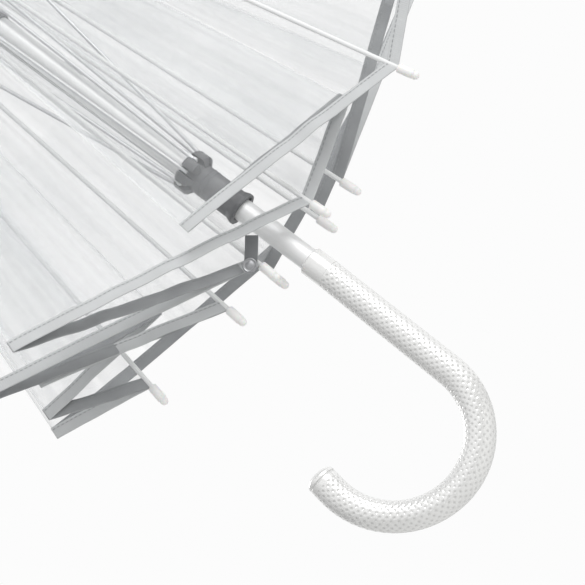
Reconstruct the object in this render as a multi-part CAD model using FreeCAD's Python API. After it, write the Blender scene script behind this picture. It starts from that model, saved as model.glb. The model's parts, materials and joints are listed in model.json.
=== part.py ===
"""Stick umbrella with a clear film canopy, closed but unfurled.

Units are millimetres. +Z runs up the shaft from the handle to the ferrule; the origin is on the shaft axis,
at the top face of the handle collar. The crook curls towards -X and the front of the umbrella faces -Y.
"""
import FreeCAD, Part
import os
from math import sin, cos, radians, sqrt
from FreeCAD import Vector as V

os.makedirs("parts", exist_ok=True)

# Shaft, crown and ferrule
SHAFT_R = 7.0
SHAFT_WALL = 0.8
BORE_R = SHAFT_R + 0.02  # of the parts pressed onto the shaft
SHAFT_BOTTOM_Z = -55.0
SHAFT_TOP_Z = 640.0
CROWN_Z = 616.5          # height of the rib hinges
CROWN_HINGE_R = 11.5     # distance of a rib hinge from the shaft axis
CROWN_R = 16.0
CROWN_SLOT = 4.2
FERRULE_Z = 627.5
FERRULE_SHOULDER_Z = 664.0
FERRULE_CAP_R = 4.0
FERRULE_CAP_LENGTH = 14.0
CANOPY_CAP_R = 19.0

# Handle
GRIP_TOP_R = 9.0
GRIP_R = 9.5
GRIP_TOP_Z = -14.0
GRIP_LEAN = 1.5          # degrees between the grip and the shaft
CROOK_Z = -107.4         # height of the crook's centre before it leans
CROOK_RADIUS = 46.6      # centreline of the tighter bend below the straight
CROOK_SWEEP = 96.0       # degrees
WIDE_RADIUS = 51.2       # centreline of the wider bend after it
WIDE_SWEEP = 90.0
TAIL_LENGTH = 8.0        # straight end of the grip; the end cap follows
CAP_GROOVE = 1.2
CAP_LENGTH = 4.6
COLLAR_R = 9.0

# Runner, stretchers and catches
RUNNER_BOTTOM_Z = 52.0
RUNNER_FLANGE_Z = 84.0
RUNNER_TOP_Z = 96.0
RUNNER_BORE_R = 7.5
RUNNER_R = 9.4
BAND_R = 0.3             # raised rings on the runner
FLANGE_R = 13.6
RUNNER_EYE_Z = 91.6
RUNNER_EYE_R = 11.4
RUNNER_TRAVEL = 150.0
FLANGE_SLOT = 4.1
KEYWAY_WIDTH = 5.0
KEYWAY_R = 8.7
STOP_GAP = 4.0           # between the open runner and its stop
CATCH_LENGTH = 22.0
CATCH_WIDTH = 2.4
CATCH_GAP = 1.5          # between a catch and the runner that it holds

# Ribs
RIB_COUNT = 8
RIB_LENGTH = 600.0       # hinge to hem
RIB_R = 1.5
ROD_R = 1.2              # stretcher
EYE_R = 2.4
STRETCHER_EYE_R = 2.0
EYE_THICKNESS = 1.8
PIN_HOLE_R = 1.1
PIN_R = 0.7
BRACKET_DROP = 4.0       # stretcher pivot to rib centreline
BRACKET_LENGTH = 8.0
BRACKET_HALF = 2.7       # half the bracket's width
EAR = 0.8
TIP_R = 2.9
TIP_LENGTH = 14.2
TIP_SOCKET = 6.0         # depth of the rod in its tip
ROD_START = 2.2
OPEN_ANGLE = 51.5        # degrees between an open rib and the shaft
FIRST_RIB_AZIMUTH = 281.0
RIB_STEP = 360.0 / RIB_COUNT

# Film
FILM = 0.2
RIB_MARGIN = 7.0         # film edge to rib line
FOLD_GAP = 0.3           # free space between two panels beside their fold
OPEN_FOLD_MARGIN = 8.0   # where the two panels beside a fold hang from different ribs
FILM_START = 0.2         # share of the length left free at the crown
LOW_FILM_START = {"film_return_1": 0.4, "film_inner_1": 0.35}   # panels that another pleat passes close to

# Tie strap
STRAP_RIB = 2
STRAP_OFFSET = V(-4.0, -10.0, 19.0)   # snap button from the rib's hem end
STRAP_WIDTH = 8.0
STRAP_LENGTH = 18.0
STRAP_LEAN = 54.0
BUTTON_R = 4.5

# Hem end of each rib when closed: x and y, in order round the shaft
RIB_HEM = [(122.5, -5.1), (27.1, -12.3), (-19.8, -17.7), (-52.1, -12.3),
           (-115.5, -15.7), (-20.3, 7.7), (23.5, 20.0), (49.5, 14.8)]

# Fold corners of each gore at the hem when closed, from one rib to the next: x, y, z
GORE_FOLDS = [[(-30.0, -68.4, 48.5), (90.4, -8.9, 37.9)],
              [(-139.9, -115.6, 71.6)],
              [(-186.1, -100.0, 80.7)],
              [(-150.8, -69.1, 62.1), (-78.0, -17.8, 47.6), (-164.7, -46.3, 54.1)],
              [(-175.2, -4.0, 56.7), (1.1, 97.3, 44.7)],
              [(130.8, 131.8, 72.7)],
              [(182.9, 108.5, 81.2)],
              [(253.6, 2.3, 97.1)]]


def azimuth_direction(index):
    """Outward unit vector of crown slot `index`."""
    angle = radians(FIRST_RIB_AZIMUTH + RIB_STEP * index)
    return V(-sin(angle), -cos(angle), 0)


def unit(vector):
    copy = V(vector)
    copy.normalize()
    return copy


def rib_line(index):
    """Hinge point, direction at rest, direction when open, and hinge axis of one rib."""
    outward = azimuth_direction(index)
    hinge = outward * CROWN_HINGE_R + V(0, 0, CROWN_Z)
    x, y = RIB_HEM[index]
    flat = V(x, y, 0) - V(hinge.x, hinge.y, 0)
    end = V(x, y, CROWN_Z - sqrt(RIB_LENGTH ** 2 - flat.Length ** 2))
    at_rest = (end - hinge) * (1 / RIB_LENGTH)
    angle = radians(OPEN_ANGLE)
    opened = outward * sin(angle) - V(0, 0, cos(angle))
    return hinge, at_rest, opened, swing_axis(V(0, 0, 1).cross(outward), at_rest, opened)


def swing_axis(nearest, start, finish):
    """Axis closest to `nearest` about which `start` turns into `finish`."""
    change = finish - start
    return unit(nearest - change * (nearest.dot(change) / change.dot(change)))


def stretcher_line(index):
    """Distance along the rib of the stretcher's pivot, the pivot, and the runner point it reaches at rest.

    The distance is the one that gives the stretcher the same length closed and open.
    """
    hinge, at_rest, opened, axis = rib_line(index)
    low = azimuth_direction(index) * RUNNER_EYE_R + V(0, 0, RUNNER_EYE_Z)
    high = low + V(0, 0, RUNNER_TRAVEL)
    closed_foot = hinge - at_rest.cross(axis) * BRACKET_DROP
    open_foot = hinge - opened.cross(axis) * BRACKET_DROP
    to_low, to_high = closed_foot - low, open_foot - high
    reach = (to_high.dot(to_high) - to_low.dot(to_low)) / (2 * (at_rest.dot(to_low) - opened.dot(to_high)))
    return reach, closed_foot + at_rest * reach, low


def tube(outer, inner, low, high):
    return Part.makeCylinder(outer, high - low, V(0, 0, low)).cut(
        Part.makeCylinder(inner, high - low, V(0, 0, low)))


def placed(shape, origin, along, across):
    """Moves a shape drawn with +X along and +Y across onto a line in space."""
    up = along.cross(across)
    matrix = FreeCAD.Matrix(along.x, across.x, up.x, origin.x, along.y, across.y, up.y, origin.y,
                            along.z, across.z, up.z, origin.z, 0, 0, 0, 1)
    moved = shape.copy()
    moved.transformShape(matrix)
    return moved


def slots(low, high, inner, width):
    """Radial slots, one for each rib, as one tool."""
    tools = []
    for index in range(RIB_COUNT):
        box = Part.makeBox(40, width, high - low, V(inner, -width / 2, low))
        outward = azimuth_direction(index)
        tools.append(placed(box, V(0, 0, 0), outward, V(0, 0, 1).cross(outward)))
    return Part.makeCompound(tools)


def revolve(points):
    """Solid of revolution about Z from (radius, height) points."""
    corners = [V(r, 0, z) for r, z in points]
    face = Part.Face(Part.makePolygon(corners + [corners[0]]))
    return face.revolve(V(0, 0, 0), V(0, 0, 1), 360)


def stick_parts():
    catch_slots = [Part.makeBox(4, CATCH_WIDTH + 0.8, CATCH_LENGTH + 3, V(4.5, -(CATCH_WIDTH + 0.8) / 2, z - 1.5))
                   for z in catch_heights()]
    shaft = tube(SHAFT_R, SHAFT_R - SHAFT_WALL, SHAFT_BOTTOM_Z, SHAFT_TOP_Z).cut(Part.makeCompound(catch_slots))
    crown = revolve([(BORE_R, CROWN_Z - 5), (CROWN_R, CROWN_Z - 5), (CROWN_R, CROWN_Z + 2.5),
                     (CROWN_R - 2, CROWN_Z + 5), (BORE_R, CROWN_Z + 5)])
    crown = crown.cut(slots(CROWN_Z - 6, CROWN_Z + 3.4, CROWN_HINGE_R - EYE_R - 0.5, CROWN_SLOT))
    ring = Part.makeTorus(CROWN_HINGE_R, PIN_R, V(0, 0, CROWN_Z))
    crown = crown.fuse(ring)
    cap_low, cap_rim = CROWN_Z + 5.2, CANOPY_CAP_R
    canopy_cap = revolve([(BORE_R, cap_low), (cap_rim, cap_low), (cap_rim, cap_low + 1),
                          (cap_rim - 5, cap_low + 3), (SHAFT_R + 2, cap_low + 5.5), (BORE_R, cap_low + 5.5)])
    ferrule = revolve([(BORE_R, FERRULE_Z), (SHAFT_R + 2.6, FERRULE_Z), (SHAFT_R + 1.8, FERRULE_Z + 4),
                       (SHAFT_R + 1.0, SHAFT_TOP_Z + 4), (FERRULE_CAP_R + 1.2, FERRULE_SHOULDER_Z),
                       (2.0, FERRULE_SHOULDER_Z), (2.0, SHAFT_TOP_Z + 0.1), (BORE_R, SHAFT_TOP_Z + 0.1)])
    end_z = FERRULE_SHOULDER_Z + FERRULE_CAP_LENGTH
    ferrule_cap = revolve([(0, FERRULE_SHOULDER_Z - 10), (1.95, FERRULE_SHOULDER_Z - 10),
                           (1.95, FERRULE_SHOULDER_Z + 0.02), (FERRULE_CAP_R, FERRULE_SHOULDER_Z + 0.02),
                           (FERRULE_CAP_R, end_z - 1), (FERRULE_CAP_R - 1, end_z), (0, end_z)])
    stop_z = RUNNER_TOP_Z + RUNNER_TRAVEL + STOP_GAP
    stop = tube(SHAFT_R + 1.6, BORE_R, stop_z, stop_z + 5)
    return {"shaft_tube": shaft, "crown_notch": crown, "canopy_cap": canopy_cap, "ferrule": ferrule,
            "ferrule_cap": ferrule_cap, "runner_stop": stop}


def crook_outward(angle):
    return V(cos(radians(angle)), 0, -sin(radians(angle)))


def crook_tangent(angle):
    return V(-sin(radians(angle)), 0, -cos(radians(angle)))


def leaned(shape):
    """Leans a shape about the grip's top."""
    copy = shape.copy()
    copy.rotate(V(0, 0, GRIP_TOP_Z), V(0, 1, 0), GRIP_LEAN)
    return copy


def handle_parts():
    straight = Part.makeCone(GRIP_R, GRIP_TOP_R, GRIP_TOP_Z + 1 - CROOK_Z, V(0, 0, CROOK_Z), V(0, 0, 1))
    pieces, point, turned = [], V(0, 0, CROOK_Z), 0
    for radius, sweep in ((CROOK_RADIUS, CROOK_SWEEP), (WIDE_RADIUS, WIDE_SWEEP)):
        centre = point - crook_outward(turned) * radius
        section = Part.Face(Part.Wire(Part.makeCircle(GRIP_R, point, crook_tangent(turned))))
        pieces.append(section.revolve(centre, V(0, 1, 0), sweep))
        turned += sweep
        point = centre + crook_outward(turned) * radius
    away = crook_tangent(turned)
    pieces.append(Part.makeCylinder(GRIP_R, TAIL_LENGTH, point, away))
    end = point + away * TAIL_LENGTH
    socket = Part.makeCylinder(BORE_R, GRIP_TOP_Z - SHAFT_BOTTOM_Z + 0.5, V(0, 0, SHAFT_BOTTOM_Z - 0.5))
    above = Part.makeBox(60, 60, 20, V(-30, -30, GRIP_TOP_Z))
    grip = leaned(straight.fuse(pieces)).cut(socket).cut(above).removeSplitter()
    spigot = Part.makeCylinder(GRIP_R - CAP_GROOVE, CAP_GROOVE, end, away)
    dome = Part.makeCylinder(GRIP_R, CAP_LENGTH, end + away * CAP_GROOVE, away)
    edges = [edge for edge in dome.Edges
             if edge.Curve.TypeId == "Part::GeomCircle" and (edge.Curve.Center - end).Length > CAP_LENGTH]
    dome = dome.makeFillet(CAP_LENGTH * 0.75, edges)
    collar = revolve([(BORE_R, GRIP_TOP_Z), (GRIP_TOP_R, GRIP_TOP_Z), (COLLAR_R, -1.0),
                      (COLLAR_R - 1, 0), (BORE_R, 0)])
    return {"handle_grip": grip, "handle_end_cap": leaned(dome.fuse(spigot)), "handle_collar": collar}


def catch_heights():
    """Lowest point of the bottom catch, above the closed runner, and of the top one, below the open runner."""
    return [RUNNER_TOP_Z + CATCH_GAP, RUNNER_BOTTOM_Z + RUNNER_TRAVEL - CATCH_GAP - CATCH_LENGTH]


def catch_parts():
    """Wedges whose square shoulder faces the runner and whose slope lets it ride over."""
    shapes = {}
    for name, low, shoulder_up in zip(("bottom_catch", "top_catch"), catch_heights(), (False, True)):
        shoulder = low + CATCH_LENGTH if shoulder_up else low
        back = -1 if shoulder_up else 1
        outline = [V(4.8, 0, shoulder + back * CATCH_LENGTH), V(6.0, 0, shoulder + back * CATCH_LENGTH),
                   V(8.4, 0, shoulder + back * 4), V(8.4, 0, shoulder), V(4.8, 0, shoulder)]
        blade = Part.Face(Part.makePolygon(outline + [outline[0]])).extrude(V(0, CATCH_WIDTH, 0))
        blade.translate(V(0, -CATCH_WIDTH / 2, 0))
        shapes[name] = blade
    return shapes


def runner_parts():
    sleeve = tube(RUNNER_R, RUNNER_BORE_R, RUNNER_BOTTOM_Z, RUNNER_FLANGE_Z)
    lip = revolve([(RUNNER_R - 0.5, RUNNER_BOTTOM_Z), (RUNNER_R + 1.2, RUNNER_BOTTOM_Z),
                   (RUNNER_R + 1.2, RUNNER_BOTTOM_Z + 2), (RUNNER_R - 0.5, RUNNER_BOTTOM_Z + 7)])
    bands = [Part.makeTorus(RUNNER_R, BAND_R, V(0, 0, RUNNER_FLANGE_Z - 4 - 3 * step)) for step in range(2)]
    keyway = Part.makeBox(KEYWAY_R, KEYWAY_WIDTH, RUNNER_TOP_Z - RUNNER_BOTTOM_Z + 2,
                          V(0, -KEYWAY_WIDTH / 2, RUNNER_BOTTOM_Z - 1))
    sleeve = sleeve.fuse(bands + [lip]).cut(keyway)
    flange = revolve([(RUNNER_BORE_R, RUNNER_FLANGE_Z + 0.02), (RUNNER_R, RUNNER_FLANGE_Z + 0.02),
                      (FLANGE_R, RUNNER_FLANGE_Z + 3), (FLANGE_R, RUNNER_TOP_Z - 1.5), (FLANGE_R - 1.5, RUNNER_TOP_Z),
                      (RUNNER_BORE_R, RUNNER_TOP_Z)])
    slot_start = RUNNER_EYE_R - STRETCHER_EYE_R - 0.4
    flange = flange.cut(slots(RUNNER_FLANGE_Z - 1, RUNNER_TOP_Z + 1, slot_start, FLANGE_SLOT)).cut(keyway)
    return {"runner_sleeve": sleeve, "runner_flange": flange}


def rib_parts():
    """Round ribs with a flat hinge eye, a bracket for the stretcher and a capsule tip.

    Each is drawn along +X from its hinge. The rod starts inside the web that joins it to the eye, and ends
    inside the tip.
    """
    shapes = {}
    for index in range(RIB_COUNT):
        hinge, at_rest, _, axis = rib_line(index)
        reach = stretcher_line(index)[0]
        rod = Part.makeCylinder(RIB_R, RIB_LENGTH + TIP_SOCKET - ROD_START, V(ROD_START, 0, 0), V(1, 0, 0))
        eye = Part.makeCylinder(EYE_R, EYE_THICKNESS, V(0, -EYE_THICKNESS / 2, 0), V(0, 1, 0))
        web = Part.makeBox(6, EYE_THICKNESS, 2.4, V(0, -EYE_THICKNESS / 2, -1.2))
        start = reach - BRACKET_LENGTH / 2
        ears = [Part.makeBox(BRACKET_LENGTH, EAR, BRACKET_DROP + 3.4, V(start, y, -BRACKET_DROP - 1.5))
                for y in (-BRACKET_HALF, BRACKET_HALF - EAR)]
        saddle = Part.makeBox(BRACKET_LENGTH, 2 * BRACKET_HALF, 0.9, V(start, -BRACKET_HALF, 1.0))
        pin = Part.makeCylinder(PIN_R, 2 * BRACKET_HALF, V(reach, -BRACKET_HALF, -BRACKET_DROP), V(0, 1, 0))
        body = rod.fuse([web, saddle, pin, eye] + ears)
        body = body.cut(Part.makeCylinder(PIN_HOLE_R, 4, V(0, -2, 0), V(0, 1, 0)))
        shapes["rib_%d" % (index + 1)] = placed(body, hinge, at_rest, axis)
        ball = Part.makeSphere(TIP_R, V(RIB_LENGTH + TIP_LENGTH - TIP_R, 0, 0))
        capsule = Part.makeCylinder(TIP_R, TIP_LENGTH - TIP_R, V(RIB_LENGTH, 0, 0), V(1, 0, 0)).fuse(ball)
        socket = Part.makeCylinder(RIB_R + 0.02, TIP_SOCKET + 0.2, V(RIB_LENGTH, 0, 0), V(1, 0, 0))
        capsule = capsule.cut(socket)
        shapes["rib_tip_%d" % (index + 1)] = placed(capsule, hinge, at_rest, axis)
    return shapes


def stretcher_parts():
    """Straight stretchers with a pivot eye at the rib and a flat end that runs in the runner's slot."""
    shapes = {}
    for index in range(RIB_COUNT):
        _, pivot, foot = stretcher_line(index)
        along = unit(foot - pivot)
        axis = rib_line(index)[3]
        across = unit(axis - along * axis.dot(along))
        length = (foot - pivot).Length
        shape = Part.makeCylinder(ROD_R, length - 5, V(2.5, 0, 0), V(1, 0, 0))
        for x in (0, length):
            eye = Part.makeCylinder(STRETCHER_EYE_R, EYE_THICKNESS, V(x, -EYE_THICKNESS / 2, 0), V(0, 1, 0))
            web = Part.makeBox(5, EYE_THICKNESS, 2.2, V(min(x, length - 5), -EYE_THICKNESS / 2, -1.1))
            shape = shape.fuse([eye, web])
        for x in (0, length):
            shape = shape.cut(Part.makeCylinder(PIN_HOLE_R, 4, V(x, -2, 0), V(0, 1, 0)))
        shapes["stretcher_%d" % (index + 1)] = placed(shape, pivot, along, across)
    return shapes


def gore_panels(index):
    """Corner points of the flat panels of one gore: name, apex, first and second hem corner."""
    after = (index + 1) % RIB_COUNT
    first, last = rib_line(index), rib_line(after)
    points = [first[0] + first[1] * RIB_LENGTH] + [V(*point) for point in GORE_FOLDS[index]]
    points.append(last[0] + last[1] * RIB_LENGTH)
    number = index + 1
    names = {3: ["film_lead_%d", "film_return_%d"],
             4: ["film_lead_%d", "film_inner_%d", "film_return_%d"],
             5: ["film_lead_%d", "film_inner_%d", "film_outer_%d", "film_return_%d"]}[len(points)]
    panels = []
    for place, name in enumerate(names):
        from_last = place >= max(1, len(names) - (len(names) // 2))
        apex = last[0] if from_last else first[0]
        panels.append((name % number, apex, points[place], points[place + 1]))
    return panels


def fold_margin(panel, neighbour, shared):
    """How far two thin panels must stop short of the fold they share."""
    _, apex, first, second = panel
    _, other_apex, other_first, other_second = neighbour
    if (apex - other_apex).Length > 1:
        return OPEN_FOLD_MARGIN
    line = unit(shared - apex)
    sides = []
    for corner, other in ((first, second), (other_first, other_second)):
        side = (other if (corner - shared).Length < 1e-6 else corner) - shared
        sides.append(unit(side - line * side.dot(line)))
    half_opening = sqrt(max(0.0, (1 - sides[0].dot(sides[1])) / 2))
    return max(1.0, (FILM + FOLD_GAP) / (2 * half_opening))


def film_panel(apex, first, second, first_margin, second_margin, start):
    """Flat thin panel in the triangle apex, first, second, set back from its two long edges."""
    along = unit(first - apex)
    across = unit((second - apex) - along * along.dot(second - apex))
    reach_x, reach_y = along.dot(second - apex), across.dot(second - apex)
    length, size = (first - apex).Length, (second - apex).Length
    hem_x = reach_x - length

    def corner(share, edge):
        """Crossing of a line parallel to the hem with one of the set-back long edges."""
        if edge == "first":
            step = first_margin / reach_y
        else:
            step = (share * length * reach_y - second_margin * size) / (reach_y * length)
        return V(share * length + hem_x * step, reach_y * step, 0)

    outline = [corner(start, "first"), corner(1, "first"), corner(1, "second"), corner(start, "second")]
    face = Part.Face(Part.makePolygon(outline + [outline[0]]))
    plate = face.extrude(V(0, 0, FILM))
    plate.translate(V(0, 0, -FILM / 2))
    return placed(plate, apex, along, across)


def film_parts():
    shapes = {}
    for index in range(RIB_COUNT):
        panels = gore_panels(index)
        for place, panel in enumerate(panels):
            name, apex, first, second = panel
            margins = []
            for shared, neighbour in ((first, place - 1), (second, place + 1)):
                inside = 0 <= neighbour < len(panels)
                margins.append(fold_margin(panel, panels[neighbour], shared) if inside else RIB_MARGIN)
            shapes[name] = film_panel(apex, first, second, *margins, LOW_FILM_START.get(name, FILM_START))
    return shapes


def strap_parts():
    """Short tie strap that hangs from the hem beside a rib tip, with its round snap button."""
    x, y = RIB_HEM[STRAP_RIB]
    centre = V(x + STRAP_OFFSET.x, y + STRAP_OFFSET.y, STRAP_OFFSET.z)
    button = Part.makeCylinder(BUTTON_R, 2.0, centre, V(0, -1, 0))
    strap = Part.makeBox(STRAP_WIDTH, 1.0, STRAP_LENGTH, V(-STRAP_WIDTH / 2, 0, 0))
    strap.rotate(V(0, 0, 0), V(0, 1, 0), STRAP_LEAN)
    strap.translate(centre + V(0, 0.02, 0))
    return {"snap_button": button, "tie_strap": strap}


def main():
    shapes = {}
    for make in (stick_parts, handle_parts, catch_parts, runner_parts, rib_parts, stretcher_parts, film_parts,
                 strap_parts):
        shapes.update(make())
    for name, shape in shapes.items():
        if not shape.isValid() or len(shape.Solids) != 1:
            raise ValueError("%s is not one valid solid" % name)
        shape.exportStep("parts/%s.step" % name)
        print("%-18s %8.0f mm3" % (name, shape.Volume))


main()
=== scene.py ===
"""Looks of a stick umbrella with a clear film canopy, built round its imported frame.

Units are metres. +Z runs up the shaft from the handle to the ferrule, the crook curls towards -X, and the
origin is at the top face of the handle collar.
"""
import json
import math

import bmesh
import bpy
import numpy as np
from bpy.props import FloatProperty, FloatVectorProperty, IntProperty, PointerProperty
from mathutils import Matrix, Vector


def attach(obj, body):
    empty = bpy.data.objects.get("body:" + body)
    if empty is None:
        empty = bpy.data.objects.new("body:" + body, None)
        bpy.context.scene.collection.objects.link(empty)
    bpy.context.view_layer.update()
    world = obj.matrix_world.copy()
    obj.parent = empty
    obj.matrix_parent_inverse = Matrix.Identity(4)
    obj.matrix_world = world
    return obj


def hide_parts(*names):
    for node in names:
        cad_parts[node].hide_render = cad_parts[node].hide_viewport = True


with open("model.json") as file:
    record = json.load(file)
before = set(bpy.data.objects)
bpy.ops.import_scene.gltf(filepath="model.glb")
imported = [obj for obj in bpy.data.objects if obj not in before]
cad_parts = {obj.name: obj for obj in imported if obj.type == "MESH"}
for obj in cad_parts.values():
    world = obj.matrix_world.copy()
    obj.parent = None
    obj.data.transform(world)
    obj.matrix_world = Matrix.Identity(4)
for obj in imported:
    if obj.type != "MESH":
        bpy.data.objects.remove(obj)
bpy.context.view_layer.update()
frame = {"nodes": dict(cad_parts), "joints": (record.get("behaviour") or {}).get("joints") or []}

bl_info = {
    "name": "Clear Umbrella Looks",
    "version": (1, 0, 0),
    "blender": (4, 5, 0),
    "location": "3D Viewport > Sidebar > Umbrella",
    "description": "Builds the canopy, hem, handle and fittings of a stick umbrella round its frame",
    "category": "Object",
}

MM = 0.001
RIB_COUNT = 8
JOINTS = {joint["name"]: joint for joint in frame["joints"]}

# Hem end of each closed rib, x and y in millimetres, in order round the shaft
RIB_HEM = [(122.5, -5.1), (27.1, -12.3), (-19.8, -17.7), (-52.1, -12.3),
           (-115.5, -15.7), (-20.3, 7.7), (23.5, 20.0), (49.5, 14.8)]

# Fold corners of each closed gore at the hem, from one rib to the next, in millimetres
GORE_FOLDS = [[(-30.0, -68.4, 48.5), (90.4, -8.9, 37.9)],
              [(-139.9, -115.6, 71.6)],
              [(-186.1, -100.0, 80.7)],
              [(-150.8, -69.1, 62.1), (-78.0, -17.8, 47.6), (-164.7, -46.3, 54.1)],
              [(-175.2, -4.0, 56.7), (1.1, 97.3, 44.7)],
              [(130.8, 131.8, 72.7)],
              [(182.9, 108.5, 81.2)],
              [(253.6, 2.3, 97.1)]]

RIB_LENGTH = 600 * MM        # hinge to hem
TIP_LENGTH = 14.2 * MM


# ---------------------------------------------------------------- small tools

def linear(colour):
    """Linear colour with alpha for an sRGB hex value such as "E8E9EA"."""
    channels = [int(colour[i:i + 2], 16) / 255 for i in (0, 2, 4)]
    return [c / 12.92 if c <= 0.04045 else ((c + 0.055) / 1.055) ** 2.4 for c in channels] + [1.0]


def hex_of(tone):
    """sRGB hex of a colour property."""
    return "".join(f"{round(255 * channel):02X}" for channel in tone)


def add_node(tree, kind, inputs=None, **settings):
    """A node with its settings and inputs."""
    made = tree.nodes.new(kind)
    for name, value in settings.items():
        setattr(made, name, value)
    feed(tree, made, inputs or {})
    return made


def feed(tree, node, inputs):
    """Gives each named input of a node its value, or links it where the value is a socket."""
    for key, value in inputs.items():
        if isinstance(value, bpy.types.NodeSocket):
            tree.links.new(value, node.inputs[key])
        else:
            node.inputs[key].default_value = value


def new_material(name, **constants):
    """A material with one Principled shader and the constants on the shader's own sockets.

    Gives the material, its node tree, the shader and the object coordinates."""
    material = bpy.data.materials.new(name)
    material.use_nodes = True
    tree = material.node_tree
    shader = tree.nodes["Principled BSDF"]
    for socket, value in constants.items():
        shader.inputs[socket.replace("_", " ")].default_value = value
    place = add_node(tree, "ShaderNodeTexCoord").outputs["Object"]
    return material, tree, shader, place


def mesh_piece(name, points, faces, material, smooth=True, uv=None):
    """An object at the origin whose mesh has these points, an N x 3 array, and faces, an M x 4 array."""
    mesh = bpy.data.meshes.new(name)
    mesh.vertices.add(len(points))
    mesh.vertices.foreach_set("co", np.asarray(points, np.float32).ravel())
    mesh.loops.add(faces.size)
    mesh.loops.foreach_set("vertex_index", faces.astype(np.int32).ravel())
    mesh.polygons.add(len(faces))
    mesh.polygons.foreach_set("loop_start", np.arange(len(faces), dtype=np.int32) * 4)
    mesh.polygons.foreach_set("use_smooth", np.full(len(faces), smooth))
    mesh.update(calc_edges=True)
    if uv is not None:
        layer = mesh.uv_layers.new(name="UVMap")
        layer.data.foreach_set("uv", uv[faces.ravel()].astype(np.float32).ravel())
    mesh.validate()
    mesh.materials.append(material)
    piece = bpy.data.objects.new(name, mesh)
    bpy.context.scene.collection.objects.link(piece)
    return piece


def grid_faces(rows, columns, close_columns=False):
    """Corner numbers of the quads of a rows x columns grid of points, wound so that the cross product of
    the step to the next row and the step to the next column faces out."""
    r = np.arange(rows - 1)[:, None]
    c = np.arange(columns if close_columns else columns - 1)[None, :]
    r2, c2 = r + 1, (c + 1) % columns
    corners = [r * columns + c, r2 * columns + c, r2 * columns + c2, r * columns + c2]
    return np.stack([np.broadcast_to(x, (r.shape[0], c.shape[1])) for x in corners], -1).reshape(-1, 4)


def add_share(piece, name, values):
    """Stores one number for each point of a mesh, for its material to read."""
    attribute = piece.data.attributes.new(name, "FLOAT", "POINT")
    attribute.data.foreach_set("value", np.asarray(values, np.float32).ravel())


def unit(vectors):
    return vectors / np.linalg.norm(vectors, axis=-1, keepdims=True)


def revolved(name, origin, axis, profile, material, sides=40):
    """Surface of revolution: each (distance along the axis, radius) of the profile becomes a ring of `sides`
    points, and each end is closed by one face across its ring."""
    axis = unit(np.asarray(axis, float))
    across = unit(np.cross(axis, (0.31, 0.87, 0.38)))
    other = np.cross(axis, across)
    profile = np.asarray(profile, float)
    turn = np.linspace(0, 2 * math.pi, sides, endpoint=False)
    radius = np.maximum(profile[:, 1], 1e-6)[:, None, None]
    ring = np.cos(turn)[:, None] * across + np.sin(turn)[:, None] * other
    points = np.asarray(origin, float) + profile[:, 0, None, None] * axis + radius * ring[None]
    faces = grid_faces(len(profile), sides, close_columns=True)[:, ::-1]
    caps = [np.arange(sides)[::-1], np.arange(sides) + (len(profile) - 1) * sides]
    piece = mesh_piece(name, points.reshape(-1, 3), faces, material)
    close_rings(piece, caps)
    return piece


def close_rings(piece, rings):
    """Closes each open ring of vertex numbers with one face."""
    shape = bmesh.new()
    shape.from_mesh(piece.data)
    shape.verts.ensure_lookup_table()
    for ring in rings:
        shape.faces.new([shape.verts[number] for number in ring]).smooth = True
    shape.to_mesh(piece.data)
    shape.free()


def paint(node, material):
    """Gives a CAD node this material in all its slots."""
    slots = frame["nodes"][node].data.materials
    slots.clear()
    slots.append(material)


# ---------------------------------------------------------------- canopy layout

def hinge_point(index):
    """Where rib `index` meets the crown."""
    return np.array(JOINTS[f"rib_{index + 1}_hinge"]["pos_m"])


def rib_end(index):
    """Hem end of a closed rib: the point below the hinge at one rib length whose x and y are RIB_HEM."""
    hinge = hinge_point(index)
    x, y = np.array(RIB_HEM[index]) * MM
    drop = math.sqrt(RIB_LENGTH ** 2 - (x - hinge[0]) ** 2 - (y - hinge[1]) ** 2)
    return np.array([x, y, hinge[2] - drop])


def gore_panels():
    """The panels of every gore between its folds: name, body, gore, apex, first and second corner, width at
    the hem, the corners before and beyond them, and the seed of its creases.

    The corner before or beyond is the far one of the neighbouring panel across a fold, or None at a rib."""
    panels = []
    for index in range(RIB_COUNT):
        after = (index + 1) % RIB_COUNT
        corners = [rib_end(index)] + [np.array(p) * MM for p in GORE_FOLDS[index]] + [rib_end(after)]
        kinds = ["lead", *["inner", "outer"][:len(corners) - 3], "return"]
        for place, kind in enumerate(kinds):
            apex = hinge_point(index if place < (len(kinds) + 1) // 2 else after)
            name = f"{kind}_{index + 1}"
            before = corners[place - 1] if place else None
            beyond = corners[place + 2] if place + 2 < len(corners) else None
            panels.append({"name": name, "body": f"film_{name}", "gore": index, "apex": apex,
                           "first": corners[place], "second": corners[place + 1],
                           "width": np.linalg.norm(corners[place + 1] - corners[place]),
                           "before": before, "beyond": beyond, "seed": 100 * index + place})
    return panels


FULL_BELLY_WIDTH = 200 * MM              # a narrower panel swells less
GATHER_WAVES, CRUMPLE_WAVES = 5, 9
CRUMPLE_LENGTHS = (16 * MM, 70 * MM)     # shortest and longest


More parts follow.
